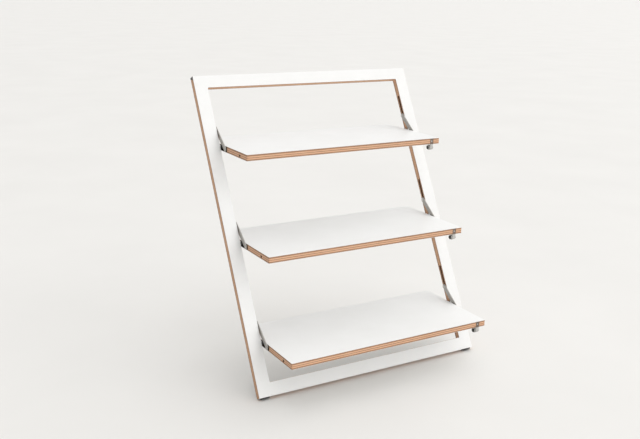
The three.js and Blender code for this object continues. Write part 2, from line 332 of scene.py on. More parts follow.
def cut(piece, cutter):
    """Takes the cutter's shape out of the piece, and throws the cutter away."""
    only(piece)
    hollow = piece.modifiers.new("cut", "BOOLEAN")
    hollow.object = cutter
    hollow.operation = "DIFFERENCE"
    hollow.solver = "EXACT"
    bpy.ops.object.modifier_apply(modifier=hollow.name)
    bpy.data.objects.remove(cutter)


def ease(piece, width, segments=2, sharper_than=35):
    """Every sharp edge gets a small round."""
    only(piece)
    edge = piece.modifiers.new("ease", "BEVEL")
    edge.width = width
    edge.segments = segments
    edge.limit_method = "ANGLE"
    edge.angle_limit = math.radians(sharper_than)
    edge.use_clamp_overlap = False
    edge.harden_normals = False
    edge.miter_outer = "MITER_ARC"
    bpy.ops.object.modifier_apply(modifier=edge.name)


def smooth(piece, degrees=32):
    only(piece)
    bpy.ops.object.shade_smooth_by_angle(angle=math.radians(degrees))


def flatten(piece):
    """Large faces are shaded flat, so that the rounded edges cast no gradient across them."""
    for face in piece.data.polygons:
        if face.area > LARGE_FACE:
            face.use_smooth = False


def put(piece, turn_x=0.0, mirrored=False, move=(0, 0, 0)):
    """Turns the piece about the X axis, mirrors it for a left end, and moves it to its place."""
    only(piece)
    turn = Matrix.Rotation(turn_x, 4, "X")
    flip = Matrix.Scale(-1, 4, (1, 0, 0)) if mirrored else Matrix.Identity(4)
    piece.matrix_world = Matrix.Translation(move) @ flip @ turn
    settle(piece)
    if mirrored:
        tidy_normals(piece)
    return piece


def copy_of(piece, name):
    twin = piece.copy()
    twin.data = piece.data.copy()
    twin.name = name
    bpy.context.scene.collection.objects.link(twin)
    return twin


def add(piece, body, slot, *finishes):
    """The piece takes its finishes and moves with its body."""
    for finish in finishes:
        piece.data.materials.append(finish)
    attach(piece, body)


def fit(piece, body, node, slot, *finishes):
    """The same for a piece that stands for a node."""
    add(piece, body, slot, *finishes)
    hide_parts(node)


# ---- Shader maths ----
# A Mix node has sockets for each kind of value. These are the ones for colours.
MIX_FIRST = 6
MIX_SECOND = 7
MIX_RESULT = 2


class Socket:
    """A node's output. Sums written on it add their Math nodes."""

    def __init__(self, shading, output):
        self.shading = shading
        self.output = output

    def maths(self, operation, *values):
        return self.shading.node("ShaderNodeMath", {"operation": operation}, dict(enumerate(values)))

    def __add__(self, other):
        return self.maths("ADD", self, other)

    __radd__ = __add__

    def __mul__(self, other):
        return self.maths("MULTIPLY", self, other)

    __rmul__ = __mul__

    def __sub__(self, other):
        return self.maths("SUBTRACT", self, other)

    def __rsub__(self, other):
        return self.maths("SUBTRACT", other, self)

    def __truediv__(self, other):
        return self.maths("DIVIDE", self, other)

    def __rtruediv__(self, other):
        return self.maths("DIVIDE", other, self)

    def __gt__(self, other):
        return self.maths("GREATER_THAN", self, other)

    def __lt__(self, other):
        return self.maths("LESS_THAN", self, other)

    def size(self):
        return self.maths("ABSOLUTE", self)

    def spread(self, low, high, to_low=0.0, to_high=1.0):
        """The value's range from low to high becomes to_low to to_high, and stops there."""
        return self.shading.node(
            "ShaderNodeMapRange",
            {"clamp": True},
            {"Value": self, "From Min": low, "From Max": high, "To Min": to_low, "To Max": to_high},
        )


class Shading:
    """A shader under construction, and the nodes that feed it."""

    def __init__(self, block, shader):
        self.block = block
        self.block.use_nodes = True
        self.tree = block.node_tree
        self.shader = next(node for node in self.tree.nodes if node.type == shader)

    def node(self, kind, settings=None, inputs=None, output=0):
        """Adds a node, with its settings made first and then the values or links of its sockets."""
        made = self.tree.nodes.new(kind)
        for setting, value in (settings or {}).items():
            if setting == "stops":
                self.set_stops(made.color_ramp, value)
            elif setting == "ramp_interpolation":
                made.color_ramp.interpolation = value
            else:
                setattr(made, setting, value)
        for key, value in (inputs or {}).items():
            self.feed(made.inputs[key], value)
        return Socket(self, made.outputs[output])

    def feed(self, socket, value):
        if isinstance(value, Socket):
            self.tree.links.new(value.output, socket)
        else:
            socket.default_value = value

    @staticmethod
    def set_stops(ramp, stops):
        while len(ramp.elements) < len(stops):
            ramp.elements.new(1.0)
        for element, (place, colour) in zip(ramp.elements, stops):
            element.position = place
            element.color = (*colour, 1.0)

    def axes(self, vector):
        split = self.node("ShaderNodeSeparateXYZ", inputs={"Vector": vector})
        outputs = split.output.node.outputs
        return [Socket(self, outputs[index]) for index in range(3)]

    def vector(self, x, y, z):
        return self.node("ShaderNodeCombineXYZ", inputs={"X": x, "Y": y, "Z": z})

    def noise(self, vector, scale, detail=3.0, roughness=0.55):
        return self.node(
            "ShaderNodeTexNoise",
            {"noise_dimensions": "3D"},
            {"Vector": vector, "Scale": scale, "Detail": detail, "Roughness": roughness},
        )

    def mix(self, share, first, second):
        """Two colours, mixed by share."""
        first, second = (c if isinstance(c, Socket) else (*c, 1.0) for c in (first, second))
        return self.node(
            "ShaderNodeMix",
            {"data_type": "RGBA"},
            {0: share, MIX_FIRST: first, MIX_SECOND: second},
            output=MIX_RESULT,
        )

    def bump(self, height, distance, strength=1.0):
        return self.node(
            "ShaderNodeBump",
            inputs={"Height": height, "Distance": distance, "Strength": strength},
        )

    def set(self, **sockets):
        """Feeds the shader: base_color is Base Color, and so on."""
        for name, value in sockets.items():
            self.feed(self.shader.inputs[name.replace("_", " ").title()], value)
        return self.block


class Finish(Shading):
    """The finish of a piece: a material with a Principled shader."""

    def __init__(self, name):
        super().__init__(bpy.data.materials.new(name), "BSDF_PRINCIPLED")

    def place(self, origin=(0, 0, 0), turn_x=0.0, stretch=(1, 1, 1)):
        """The object's own coordinates, moved to origin, turned about X and stretched."""
        raw = self.node("ShaderNodeTexCoord", output="Object")
        moved = self.node(
            "ShaderNodeMapping",
            {"vector_type": "POINT"},
            {"Vector": raw, "Location": [-value for value in origin]},
        )
        return self.node(
            "ShaderNodeMapping",
            {"vector_type": "POINT"},
            {"Vector": moved, "Rotation": (turn_x, 0, 0), "Scale": stretch},
        )


class Sky(Shading):
    """The soft light from all round the stand."""

    def __init__(self, name):
        super().__init__(bpy.data.worlds.new(name), "BACKGROUND")

    def around(self):
        """The way that the light comes from, as its X, Y and Z."""
        return self.axes(self.node("ShaderNodeTexCoord", output="Generated"))


# ---- Finishes ----
def laminate(name, seed):
    """White melamine: a satin face with a very fine pebble and a few faint marks."""
    finish = Finish(name)
    where = finish.place(origin=(seed, 0, 0))
    pebble = finish.noise(where, 2400, detail=2.0)
    cloud = finish.noise(where, 9, detail=4.0)
    scuff = finish.noise(finish.place(origin=(seed, 0.4, 0), stretch=(1, 9, 9)), 22, detail=6.0)
    marks = scuff.spread(0.66, 0.78)
    tone = finish.mix(cloud.spread(0.3, 0.7), (0.83, 0.83, 0.82), (0.86, 0.86, 0.855))
    colour = finish.mix(marks * 0.25, tone, (0.74, 0.735, 0.72))
    return finish.set(
        base_color=colour,
        roughness=cloud.spread(0.2, 0.8, 0.36, 0.46) + marks * 0.08,
        normal=finish.bump(pebble, 0.02 * MM, 0.35),
    )


# The plies of the core from its face to its back: (share of the thickness, how dark).
PLIES = (
    (0.040, 0.95), (0.095, 0.70), (0.165, 0.95), (0.225, 0.55), (0.285, 0.05), (0.370, 0.00),
    (0.455, 0.90), (0.510, 0.70), (0.560, 0.12), (0.650, 0.00), (0.730, 0.60), (0.800, 0.90),
    (0.860, 0.62), (0.910, 0.90), (0.962, 0.60),
)


def ply_edge(name, middle, turn_x, through):
    """The bare edge of a laminated board. through is the axis, 1 or 2, that crosses its plies."""
    finish = Finish(name)
    where = finish.place(origin=middle, turn_x=turn_x)
    axes = finish.axes(where)
    run = axes[0] + axes[3 - through]
    waver = finish.noise(finish.vector(run * 14, 0.0, 0.0), 1.0, detail=2.0)
    level = 0.5 - axes[through] / THICKNESS
    depth = level + (waver - 0.5) * 0.02
    dark = finish.node(
        "ShaderNodeValToRGB",
        {
            "ramp_interpolation": "CONSTANT",
            "stops": [(place, (shade,) * 3) for place, shade in PLIES],
        },
        {"Fac": depth},
    )
    # Plies cut along the grain show streaks, and plies cut across it show pores.
    streaks = finish.noise(finish.vector(run * 60, depth * 55, 3.0), 1.0, detail=6.0)
    pores = finish.noise(finish.vector(run * 1500, depth * 90, 7.0), 1.0, detail=2.0)
    crossed = dark > 0.5
    grain = streaks * (1 - crossed) + pores * crossed
    # Here and there a stretch of veneer is darker, and a knot darker still.
    figure = finish.noise(finish.vector(run * 11, depth * 9, 5.0), 1.0, detail=3.0)
    knot = finish.noise(finish.vector(run * 30, depth * 12, 9.0), 1.0, detail=1.0).spread(0.72, 0.8)
    shade = dark * 0.9 + (grain - 0.5) * 0.7 + (figure - 0.5) * 0.7 + knot * 0.6
    wood = finish.node(
        "ShaderNodeValToRGB",
        {
            "stops": [
                (0.0, (0.78, 0.475, 0.30)),
                (0.4, (0.56, 0.315, 0.175)),
                (0.8, (0.33, 0.170, 0.092)),
                (1.0, (0.18, 0.090, 0.050)),
            ]
        },
        {"Fac": shade},
    )
    # Some lengths of it are redder.
    redder = finish.noise(finish.vector(run * 23, depth * 6, 13.0), 1.0, detail=3.0).spread(0.5, 0.72)
    wood = finish.mix(redder * 0.35, wood, (0.50, 0.20, 0.105))
    # The laminate's own edge: white outside, with a thin brown line where it is glued.
    from_middle = (level - 0.5).size()
    skin = from_middle > 0.5 - LAMINATE / THICKNESS
    glue = (from_middle > 0.5 - 1.3 * LAMINATE / THICKNESS) * (1 - skin)
    stained = finish.mix(glue, wood, (0.20, 0.105, 0.06))
    colour = finish.mix(skin, stained, (0.80, 0.79, 0.76))
    # Light sanding dust and handling marks.
    patch = finish.noise(where, 16, detail=5.0)
    worn = finish.mix(patch.spread(0.55, 0.75) * 0.18, colour, (0.74, 0.52, 0.38))
    height = grain * 0.6 - crossed * 0.25
    return finish.set(
        base_color=worn,
        roughness=grain.spread(0.2, 0.8, 0.52, 0.72),
        normal=finish.bump(height, 0.12 * MM, 0.5),
    )


def brushed_steel(name, turn_x, tone, stretch):
    """Steel with fine lines that run across the most stretched axes, after a turn about X."""
    finish = Finish(name)
    where = finish.place(turn_x=turn_x)
    x, y, z = finish.axes(where)
    lines = finish.noise(
        finish.vector(x * stretch[0], y * stretch[1], z * stretch[2]), 1.0, detail=3.0
    )
    smear = finish.noise(where, 45, detail=4.0)
    colour = finish.mix(lines.spread(0.25, 0.75), tuple(0.82 * c for c in tone), tone)
    return finish.set(
        base_color=finish.mix(smear.spread(0.4, 0.8) * 0.3, colour, tuple(0.6 * c for c in tone)),
        metallic=1.0,
        roughness=lines.spread(0.2, 0.8, 0.24, 0.42) + smear.spread(0.3, 0.8, 0.0, 0.1),
        normal=finish.bump(lines, 0.02 * MM, 0.6),
    )


def black_paint(name):
    """Satin black powder coat, a little grey where it is rubbed."""
    finish = Finish(name)
    where = finish.place()
    peel = finish.noise(where, 900, detail=2.0)
    rub = finish.noise(where, 70, detail=6.0)
    rubbed = rub.spread(0.58, 0.72)
    return finish.set(
        base_color=finish.mix(rubbed * 0.5, (0.012, 0.010, 0.009), (0.05, 0.044, 0.040)),
        roughness=0.55 + rubbed * 0.14,
        normal=finish.bump(peel, 0.05 * MM, 0.5),
    )


def black_plastic(name):
    """Moulded black plastic with a fine spark texture."""
    finish = Finish(name)
    where = finish.place()
    spark = finish.noise(where, 3200, detail=2.0)
    haze = finish.noise(where, 60, detail=3.0)
    return finish.set(
        base_color=finish.mix(haze.spread(0.3, 0.8), (0.014, 0.014, 0.014), (0.030, 0.029, 0.028)),
        roughness=haze.spread(0.3, 0.7, 0.48, 0.62),
        normal=finish.bump(spark, 0.03 * MM, 0.6),
    )


def rubber(name, dark, dusty):
    """Dull rubber, dusty where it has been handled."""
    finish = Finish(name)
    where = finish.place()
    grain = finish.noise(where, 1500, detail=4.0)
    dust = finish.noise(where, 130, detail=5.0)
    return finish.set(
        base_color=finish.mix(dust.spread(0.45, 0.8), dark, dusty),
        roughness=dust.spread(0.3, 0.8, 0.72, 0.9),
        normal=finish.bump(grain, 0.08 * MM, 0.7),
    )


def painted_shade_hole_wood(name, dark, light):
    """Wood inside a drilled hole or a routed slot, much darker than the bare edges: painted shade."""
    finish = Finish(name)
    where = finish.place()
    fibres = finish.noise(where, 900, detail=4.0)
    return finish.set(
        base_color=finish.mix(fibres.spread(0.3, 0.7), dark, light),
        roughness=0.8,
        normal=finish.bump(fibres, 0.15 * MM, 0.7),
    )


# ---- Finishes that several pieces share ----
STAY_STEEL = brushed_steel("stay_steel", STAY_LEAN, (0.50, 0.48, 0.45), stretch=(3500, 3500, 45))
STRAP_STEEL = brushed_steel("strap_steel", 0.0, (0.62, 0.61, 0.59), stretch=(60, 1400, 1400))
# A darker, browner copy of the strap's steel, for the strap's flat part: painted shade.
STRAP_STEEL_PAINTED_SHADE = brushed_steel("dull_steel", 0.0, (0.24, 0.185, 0.155), stretch=(3500, 60, 60))
TURNED_STEEL = brushed_steel("turned_steel", 0.0, (0.62, 0.61, 0.59), stretch=(2600, 30, 30))
BLACK_PAINT = black_paint("black_paint")
BLACK_PLASTIC = black_plastic("black_plastic")
BLACK_RUBBER = rubber("black_rubber", (0.018, 0.018, 0.018), (0.06, 0.058, 0.055))
GREY_RUBBER = rubber("grey_rubber", (0.13, 0.13, 0.125), (0.21, 0.205, 0.195))
# The slots' dark brown wood is painted shade for the shadowed grooves.
SLOT_WOOD_PAINTED_SHADE = painted_shade_hole_wood("slot_wood", (0.10, 0.052, 0.030), (0.24, 0.130, 0.076))
# The end hole's near-black wood is painted shade for the shadowed inside of the hole.
HOLE_PAINTED_SHADE = painted_shade_hole_wood("hole_wood", (0.018, 0.012, 0.008), (0.045, 0.028, 0.018))


# ---- Boards ----
def board_faces(piece, broad, in_hole):
    """Sets each face's finish: laminate on the broad faces, wood darkened with painted shade inside
    holes and slots, and bare wood elsewhere.
    """
    for face in piece.data.polygons:
        if broad(face.center, face.normal):
            face.material_index = FACE
        elif in_hole(face.center):
            face.material_index = HOLE
        else:
            face.material_index = EDGE


def frame_panel():
    """The frame in its own flat space: y from the face to the back, z up along the board."""
    half_width = FRAME_WIDTH / 2
    inner = half_width - STILE
    low = BOTTOM_RAIL
    high = FRAME_HEIGHT - TOP_RAIL
    panel = new_box("frame_panel", (-half_width, 0, 0), (half_width, THICKNESS, FRAME_HEIGHT))
    for x in (-inner, inner):
        slice_through(panel, (x, 0, 0), (1, 0, 0))
    for z in (low, high):
        slice_through(panel, (0, 0, z), (0, 0, 1))

    def opening(centre, facing):
        return abs(centre.x) < inner and low < centre.z < high and abs(facing.y) > STRAIGHT

    def opening_corner(middle, way):
        beside = abs(abs(middle.x) - inner) < PAST / 2
        return beside and low - PAST < middle.z < high + PAST and abs(way.y) > STRAIGHT

    pick_faces(panel, opening)
    bpy.ops.mesh.bridge_edge_loops()
    close_edit()
    pick_edges(panel, opening_corner)
    bpy.ops.mesh.bevel(offset=OPENING_CORNER, segments=5)
    close_edit()

    slot_top = SHOE_FOLDED + SHOE_LENGTH / 2 + RUNNING
    slot_foot = SHOE_OPEN - SHOE_LENGTH / 2 - RUNNING
    for side in SIDES.values():
        for level in range(len(LEVELS)):
            height = FIRST_PIVOT + level * SHELF_PITCH
            slot = round_bar(
                "slot", SLOT_WIDTH, slot_top - slot_foot - SLOT_WIDTH, -PAST, SLOT_DEPTH
            )
            place = Vector((side * inner, HALF, height + slot_foot + SLOT_WIDTH / 2))
            cut(panel, put(slot, mirrored=side < 0, move=place))
            hole = rod("bush_hole", BUSH + SEAT, -PAST, BUSH_LENGTH + RUNNING)
            cut(panel, put(hole, mirrored=side < 0, move=(side * inner, HALF, height)))
        notch = new_box(
            "pad_notch",
            (inner, PAD_SET_BACK, FRAME_HEIGHT - PAD_HEIGHT),
            (half_width + PAST, THICKNESS + PAST, FRAME_HEIGHT + PAST),
        )
        corner = (0, PAD_SET_BACK, FRAME_HEIGHT - PAD_HEIGHT)
        slice_through(notch, corner, LEVEL_DOWN, keep_both=False)
        cut(panel, put(notch, mirrored=side < 0))
    ease(panel, ARRIS)

    def broad(centre, facing):
        return abs(facing.y) > STRAIGHT and abs(centre.y - HALF) > HALF - ARRIS / 4

    def in_hole(centre):
        across = inner + ARRIS < abs(centre.x) < half_width - ARRIS
        return across and 2 * ARRIS < centre.z < FRAME_HEIGHT - PAD_HEIGHT - 2 * ARRIS

    board_faces(panel, broad, in_hole)
    return panel


def shelf_panel():
    """A shelf, level, with its pivot axis along X through the origin."""
    half_width = SHELF_WIDTH / 2
    panel = new_box("shelf_panel", (-half_width, SHELF_FRONT, -HALF), (half_width, SHELF_BACK, HALF))
    pick_edges(panel, upright)
    bpy.ops.mesh.bevel(offset=SHELF_CORNER, segments=4)
    close_edit()
    for side in SIDES.values():
        end = (side * half_width, 0, 0)
        recess = round_bar(
            "plate_recess", PLATE_WIDTH + 2 * SEAT, STAY_REACH, -PLATE_THICKNESS - SEAT, PAST
        )
        put(recess, turn_x=math.pi / 2)
        cut(panel, put(recess, mirrored=side < 0, move=end))
        pin_hole = rod("pin_hole", PIN + SEAT, -PIN_DEPTH - SEAT, PAST)
        cut(panel, put(pin_hole, mirrored=side < 0, move=end))
        rivet_hole = rod("rivet_hole", SHANK + SEAT, -RIVET_DEPTH - SEAT, PAST, (-STAY_REACH, 0))
        cut(panel, put(rivet_hole, mirrored=side < 0, move=end))
    end_hole = Vector((-half_width, -END_HOLE_FORWARD, -END_HOLE_DROP))
    cut(panel, put(rod("end_hole", END_HOLE, -PAST, END_HOLE_DEPTH), move=end_hole))
    rim = [(END_HOLE + END_HOLE_SINK - depth, depth) for depth in (-PAST / 2, 0, PAST)]
    cut(panel, put(turned("end_hole_rim", rim), move=end_hole))
    strap_half = STRAP_WIDTH / 2 + SEAT
    strap_place = half_width - STRAP_FROM_END
    notch = new_box(
        "strap_notch",
        (strap_place - strap_half, SHELF_FRONT - PAST, -HALF - PAST),
        (strap_place + strap_half, SHELF_FRONT + STRAP + SEAT, HALF - STRAP_BELOW_TOP),
    )
    cut(panel, notch)
    ease(panel, ARRIS)

    def broad(centre, facing):
        return abs(facing.z) > STRAIGHT and abs(centre.z) > HALF - ARRIS / 4

    def in_hole(centre):
        if (centre - end_hole).length < END_HOLE + PAST:
            return True
        along = SHELF_FRONT + 2 * ARRIS < centre.y < SHELF_BACK - 2 * ARRIS
        return along and abs(centre.x) < half_width - 1.2 * ARRIS

    board_faces(panel, broad, in_hole)
    return panel


# ---- Rubber under and behind the frame ----
def foot():
    """A flat pad under the board's end, cut level at its back, in the frame's own space."""
    half_width = FOOT_WIDTH / 2
    pad = new_box(
        "foot",
        (-half_width, FOOT_FROM_FRONT, -FOOT_THICKNESS),
        (half_width, THICKNESS - FOOT_FROM_BACK, -SEAT),
    )
    pick_edges(pad, upright)
    bpy.ops.mesh.bevel(offset=FOOT_CORNER, segments=5)
    close_edit()
    floor_point = (0, 0, -GROUND_DROP / math.cos(LEAN))
    slice_through(pad, floor_point, LEVEL_DOWN, keep_both=False)
    ease(pad, FOOT_ARRIS, segments=3)
    smooth(pad)
    return pad


def wall_pad():
    """The right pad: a block in the notch at a stile's top, with an upright back."""
    inner = FRAME_WIDTH / 2 - STILE
    deep_enough = 1.5 * THICKNESS
    block = new_box(
        "wall_pad",
        (inner + SEAT, PAD_SET_BACK + SEAT, FRAME_HEIGHT - PAD_HEIGHT),
        (FRAME_WIDTH / 2, deep_enough, FRAME_HEIGHT),
    )
    seat_point = (0, PAD_SET_BACK, FRAME_HEIGHT - PAD_HEIGHT + SEAT / math.cos(LEAN))
    slice_through(block, seat_point, LEVEL_DOWN, keep_both=False)
    wall_point = (0, THICKNESS + PAD_PROUD / math.cos(LEAN), FRAME_HEIGHT)
    slice_through(block, wall_point, TO_WALL, keep_both=False)
    ease(block, PAD_ARRIS, segments=3)
    smooth(block)
    return block


# ---- Fittings at a shelf's right end: x = 0 is the shelf's end, +x runs to the stile ----
def side_plate():
    """Let into the shelf's end, round at the pivot and round at the lower rivet."""
    plate = round_bar(
        "side_plate", PLATE_WIDTH, STAY_REACH, -PLATE_THICKNESS, 0, segments=FLAT_ROUND
    )
    for height, hole in ((0, PIN + RUNNING), (STAY_REACH, SHANK + RUNNING)):
        cut(plate, rod("hole", hole, -PLATE_THICKNESS - PAST, PAST, (0, height)))
    ease(plate, PLATE_ARRIS)
    smooth(plate)
    return put(plate, turn_x=math.pi / 2)


def plate_screw():
    """A small countersunk screw, flush in the plate, with a slot across it."""
    head = PLATE_SCREW_HEAD
    depth = 1.9 * MM
    rim = 0.25 * MM
    flush = 0.02 * MM
    screw = turned("plate_screw", ((head / 2, -depth), (head, -rim), (head, -flush)))
    drive_slot(screw, head, near=-0.9 * MM, far=PAST, half_width=0.3 * MM)
    smooth(screw)
    return screw


def drive_slot(screw, head, near, far, half_width):
    cut(screw, new_box("slot", (near, -2 * head, -half_width), (far, 2 * head, half_width)))


def pivot_pin():
    """A pin with a collar that stands between the shelf's end and the bush's flange."""
    flange_near = END_GAP - SEAT - FLANGE_THICKNESS
    collar_far = flange_near - RUNNING
    tip = END_GAP + PIN_REACH
    chamfer = 0.5 * MM
    pin = turned("pivot_pin", (
        (PIN - chamfer, -PIN_DEPTH),
        (PIN, -PIN_DEPTH + chamfer),
        (PIN, SEAT),
        (COLLAR - chamfer, SEAT),
        (COLLAR, SEAT + chamfer),
        (COLLAR, collar_far - chamfer),
        (COLLAR - chamfer, collar_far),
        (PIN, collar_far),
        (PIN, tip - chamfer),
        (PIN - chamfer, tip),
    ))
    smooth(pin)
    return pin


def pivot_bush():
    """A flanged bush in the stile's inner edge."""
    bore = PIN + RUNNING
    near = END_GAP - SEAT - FLANGE_THICKNESS
    far = END_GAP - SEAT
    end = END_GAP + BUSH_LENGTH
    chamfer = 0.25 * MM
    bush = turned("pivot_bush", (
        (bore, near + chamfer),
        (bore + chamfer, near),
        (FLANGE - chamfer, near),
        (FLANGE, near + chamfer),
        (FLANGE, far - chamfer),
        (FLANGE - chamfer, far),
        (BUSH, far),
        (BUSH, end - chamfer),
        (BUSH - chamfer, end),
        (bore, end),
        (bore, near + chamfer),
    ), solid=False)
    smooth(bush)
    return bush


def rivet_dome(place, height):
    """A rivet's head from its rim at place, outwards by height."""
    return [(RIVET_HEAD * across, place + height * share) for across, share in DOME]


def stay_foot_rivet():
    chamfer = 0.5 * MM
    head = STAY_SET_OFF + STAY_THICKNESS + SEAT
    rivet = turned("stay_foot_rivet", (
        (SHANK - chamfer, -RIVET_DEPTH),
        (SHANK, -RIVET_DEPTH + chamfer),
        (SHANK, SEAT),
        (RIVET_SHOULDER, SEAT),
        (RIVET_SHOULDER, STAY_SET_OFF - SEAT),
        (SHANK, STAY_SET_OFF - SEAT),
        (SHANK, head),
        *rivet_dome(head, RIVET_HEAD_THICKNESS),
    ))
    smooth(rivet)
    return rivet


def stay_head_rivet():
    """In the arm's own space, at its upper pin."""
    chamfer = 0.3 * MM
    near = STAY_SET_OFF - SEAT
    far = STAY_SET_OFF + STAY_THICKNESS
    rivet = turned("stay_head_rivet", (
        *reversed(rivet_dome(near, -RIVET_HEAD_THICKNESS)),
        (SHANK, near),
        (SHANK, far - chamfer),
        (SHANK - chamfer, far),
    ))
    smooth(rivet)
    return put(rivet, move=(0, 0, STAY_LENGTH))


def stay_arm():
    """In its own space: the lower pin is at z = 0, and the upper one at z = STAY_LENGTH."""
    near = STAY_SET_OFF
    far = near + STAY_THICKNESS
    arm = round_bar("stay_arm", STAY_WIDTH, STAY_LENGTH, near, far, segments=FLAT_ROUND)
    for height in (0, STAY_LENGTH):
        cut(arm, rod("eye", SHANK + RUNNING, near - PAST, far + PAST, (0, height)))
    ease(arm, STAY_ARRIS, segments=3)
    smooth(arm)
    return arm


def slide_shoe():
    """In the stile's space, centred on the slot's axis: a block with a shallow dish in its face."""
    rim = 0.9 * MM
    dish = 0.25 * MM
    width = SLOT_WIDTH - 2 * RUNNING
    length = SHOE_LENGTH - width
    near = END_GAP - SHOE_PROUD
    shoe = round_bar("slide_shoe", width, length, near, END_GAP + SHOE_DEPTH)
    pick_faces(shoe, lambda centre, facing: facing.x < -STRAIGHT)
    bpy.ops.mesh.inset(thickness=rim)
    bpy.ops.transform.translate(value=(dish, 0, 0))
    close_edit()
    ease(shoe, SHOE_ARRIS)
    smooth(shoe)
    return put(shoe, move=(0, 0, -length / 2))


# ---- The grip: y = 0 is the front edge's face, z = 0 the shelf's middle ----
def into_edge(screw, place=0.0):
    """Turns what was made along X to run into the edge, at the strap screw's height."""
    only(screw)
    turn = Matrix.Rotation(math.pi / 2, 4, "Z")
    screw.matrix_world = Matrix.Translation((0, place, STRAP_SCREW_HEIGHT)) @ turn
    settle(screw)
    return screw


def grip_strap():
    """A flat strap down the edge, curled round the barrel. The curl takes the bright steel, and the
    flat part a darker, browner copy of it: painted shade.
    """
    half_width = STRAP_WIDTH / 2
    top = HALF - STRAP_BELOW_TOP - SEAT
    strap = new_box("grip_strap", (-half_width, 0, GRIP_CENTRE.z), (half_width, STRAP, top))
    pick_faces(strap, lambda centre, facing: facing.z < -STRAIGHT)
    bpy.ops.mesh.spin(
        steps=CURL_STEPS,
        angle=-CURL_TURN,
        center=GRIP_CENTRE,
        axis=(1, 0, 0),
    )
    close_edit()
    tidy_normals(strap)
    slice_through(strap, (0, 0, -HALF), (0, 0, 1))
    cut(strap, strap_screw_hole())
    ease(strap, STRAP_ARRIS)
    smooth(strap)
    for face in strap.data.polygons:
        # The flat part takes the darker copy of the steel, which is painted shade.
        face.material_index = FLAT if face.center.z > -HALF else CURL
    return strap


def strap_screw_hole():
    """A countersunk hole, halfway down the strap's flat part."""
    head = STRAP_SCREW_HEAD + STRAP_SCREW_PLAY
    bore = STRAP_SCREW_SHANK + STRAP_SCREW_PLAY
    cutter = turned("hole", (
        (head + 0.1 * MM, 0),
        (head - 0.1 * MM, 0.3 * MM),
        (bore, 1.3 * MM),
        (bore, 2 * STRAP),
    ))
    return into_edge(cutter, place=-0.01 * MM)


def strap_screw():
    """The countersunk screw that holds the strap to the shelf's edge."""
    head = STRAP_SCREW_HEAD
    screw = turned("strap_screw", (
        (STRAP_SCREW_SHANK, 1.4 * MM),
        (head, 0.35 * MM),
        (head * 0.98, 0.12 * MM),
        (head * 0.7, 0.04 * MM),
    ))
    drive_slot(screw, head, near=-PAST, far=0.6 * MM, half_width=0.28 * MM)
    into_edge(screw)
    smooth(screw)
    return screw


def grip_barrel():
    """A short steel tube in the strap's curl."""
    half = GRIP_LENGTH / 2
    inner = GRIP - GRIP_WALL
    chamfer = 0.4 * MM
    barrel = turned("grip_barrel", (
        (inner, -half),
        (GRIP - chamfer, -half),
        (GRIP, -half + chamfer),
        (GRIP, half - chamfer),
        (GRIP - chamfer, half),
        (inner, half),
        (inner, -half),
    ), segments=GRIP_ROUND, solid=False)
    smooth(barrel)
    return put(barrel, move=GRIP_CENTRE)


def grip_core():
    """A black core through the barrel, with a thin cap, dished in the middle, on its left end. The
    black cap is painted shade for the dark inside of the hollow tube's end.
    """
    half = GRIP_LENGTH / 2
    core = GRIP - GRIP_WALL - SEAT
    near = -half - SEAT
    tip = near - CAP_THICKNESS
    dish = 0.35 * MM
    chamfer = 0.5 * MM
    arris = 0.15 * MM
    plug = turned("grip_core", (
        (GRIP * 0.28, tip + dish),
        (GRIP * 0.36, tip),
        (GRIP * 0.86, tip),
        (GRIP * 0.96, tip + 0.12 * MM),
        (GRIP, tip + 0.4 * MM),
        (GRIP, near - arris),
        (GRIP - arris, near),
        (core, near),
        (core, half - chamfer),
        (core - chamfer, half),
    ), segments=GRIP_ROUND)
    smooth(plug)
    return put(plug, move=GRIP_CENTRE)


# ---- Everything in its place ----
def dress_frame():
    panel = put(frame_panel(), turn_x=-LEAN, move=FRAME_ORIGIN)
    middle = FRAME_ORIGIN + Vector((0, HALF * math.cos(LEAN), -HALF * math.sin(LEAN)))
    smooth(panel, BOARD_SMOOTH)
    flatten(panel)
    face = laminate("frame_laminate", 0.0)
    edge = ply_edge("frame_edge", middle, LEAN, through=1)
    fit(panel, "frame", "frame_board", "frame_board", face, edge, SLOT_WOOD_PAINTED_SHADE)

    foot_first = foot()
    pad_first = wall_pad()
    for side_name, side in SIDES.items():
        piece = copy_of(foot_first, f"foot_pad_{side_name}")
        put(piece, move=(side * (FRAME_WIDTH - STILE) / 2, 0, 0))
        put(piece, turn_x=-LEAN, move=FRAME_ORIGIN)
        fit(piece, "frame", f"foot_{side_name}", "foot", BLACK_RUBBER)
        piece = copy_of(pad_first, f"wall_block_{side_name}")
        put(piece, mirrored=side < 0)
        put(piece, turn_x=-LEAN, move=FRAME_ORIGIN)
        fit(piece, "frame", f"wall_pad_{side_name}", "wall_pad", GREY_RUBBER)
    for first in (foot_first, pad_first):
        bpy.data.objects.remove(first)


